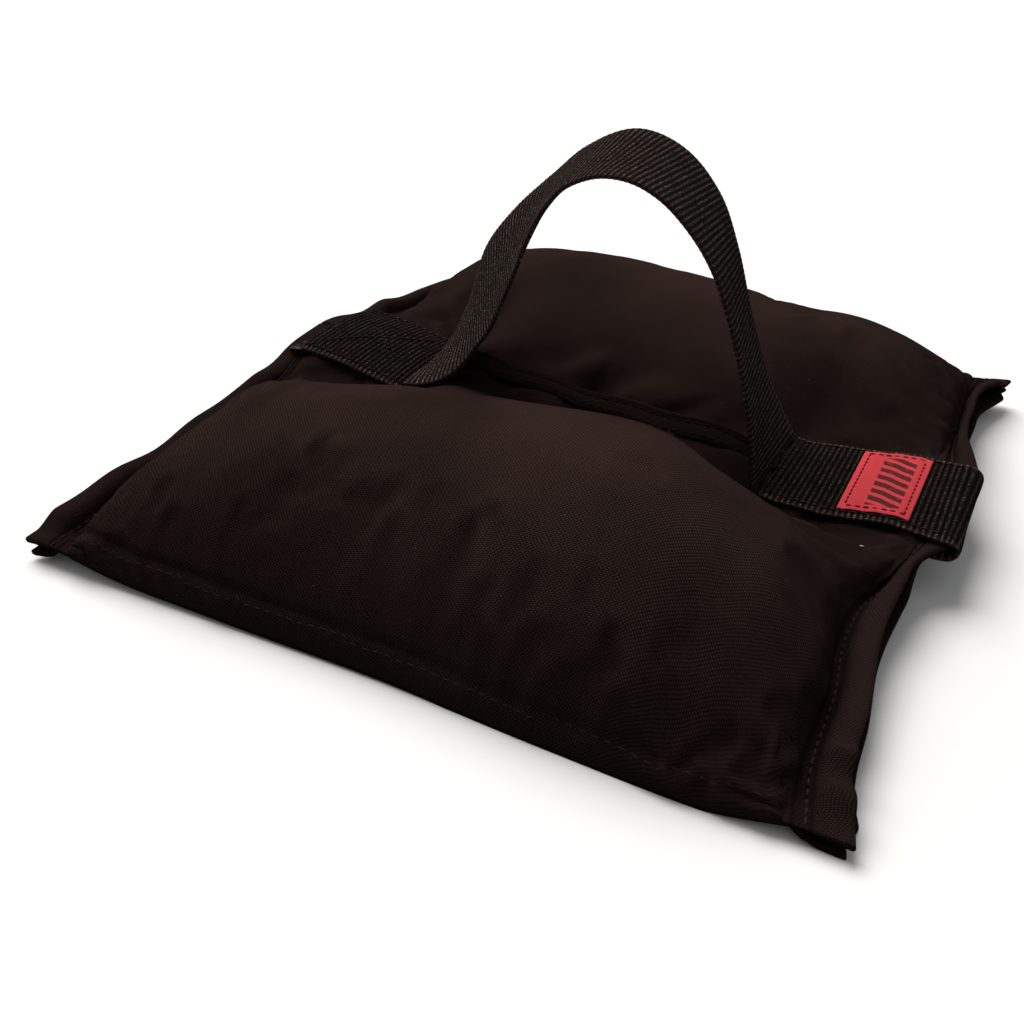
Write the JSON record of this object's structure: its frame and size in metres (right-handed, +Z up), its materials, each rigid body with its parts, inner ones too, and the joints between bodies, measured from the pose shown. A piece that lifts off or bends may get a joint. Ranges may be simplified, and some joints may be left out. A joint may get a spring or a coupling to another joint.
{
  "type": "sandbag",
  "caption": "Saddle sandbag: sand-filled woven nylon pouches either side of a centre strip, with a webbing carrying handle, for weighting light stands.",
  "frame": {"origin": "on the floor under the middle of the bag, lying open", "axes": "+X along the centre seam and the strap, towards the end with the label; +Y towards the back pouch; +Z up"},
  "size_m": [0.25, 0.3004, 0.12],
  "materials": {
    "cover_cloth": "matt heavy woven nylon, brownish black",
    "webbing": "ribbed heavy webbing, olive black with a slight sheen",
    "thread": "bonded nylon thread, satin",
    "label_cloth": "woven label, bright red",
    "label_thread": "dark red thread",
    "liner_film": "flexible vinyl film, heat sealed",
    "sand": "dry washed sand"
  },
  "bodies": {
    "centre": {"centre_top_strip": "cover_cloth", "centre_bottom_strip": "cover_cloth", "centre_lap_seam": "cover_cloth", "strap_right_anchor": "webbing", "strap_left_anchor": "webbing", "strap_underside": "webbing", "handle_feet": "webbing", "centre_seam_stitching": "thread", "right_anchor_stitching": "thread", "left_anchor_stitching": "thread", "label_stitching": "label_thread", "label": "label_cloth"},
    "front_pouch": {"front_top_panel": "cover_cloth", "front_bottom_panel": "cover_cloth", "front_liner": "liner_film", "front_sand": "sand", "front_side_stitching": "thread", "front_hem_stitching": "thread"},
    "back_pouch": {"back_top_panel": "cover_cloth", "back_bottom_panel": "cover_cloth", "back_liner": "liner_film", "back_sand": "sand", "back_side_stitching": "thread", "back_hem_stitching": "thread"},
    "handle": {"handle_webbing": "webbing"}
  },
  "joints": [
    {"name": "front_fold", "type": "hinge", "parent": "centre", "child": "front_pouch", "pos_m": [0, -0.027, 0.024], "axis": [1, 0, 0], "range_deg": [-15, 80]},
    {"name": "back_fold", "type": "hinge", "parent": "centre", "child": "back_pouch", "pos_m": [0, 0.027, 0.024], "axis": [-1, 0, 0], "range_deg": [-15, 80]},
    {"name": "handle_swing", "type": "hinge", "parent": "centre", "child": "handle", "pos_m": [0, 0, 0.0272], "axis": [1, 0, 0], "range_deg": [-30, 30]}
  ]
}
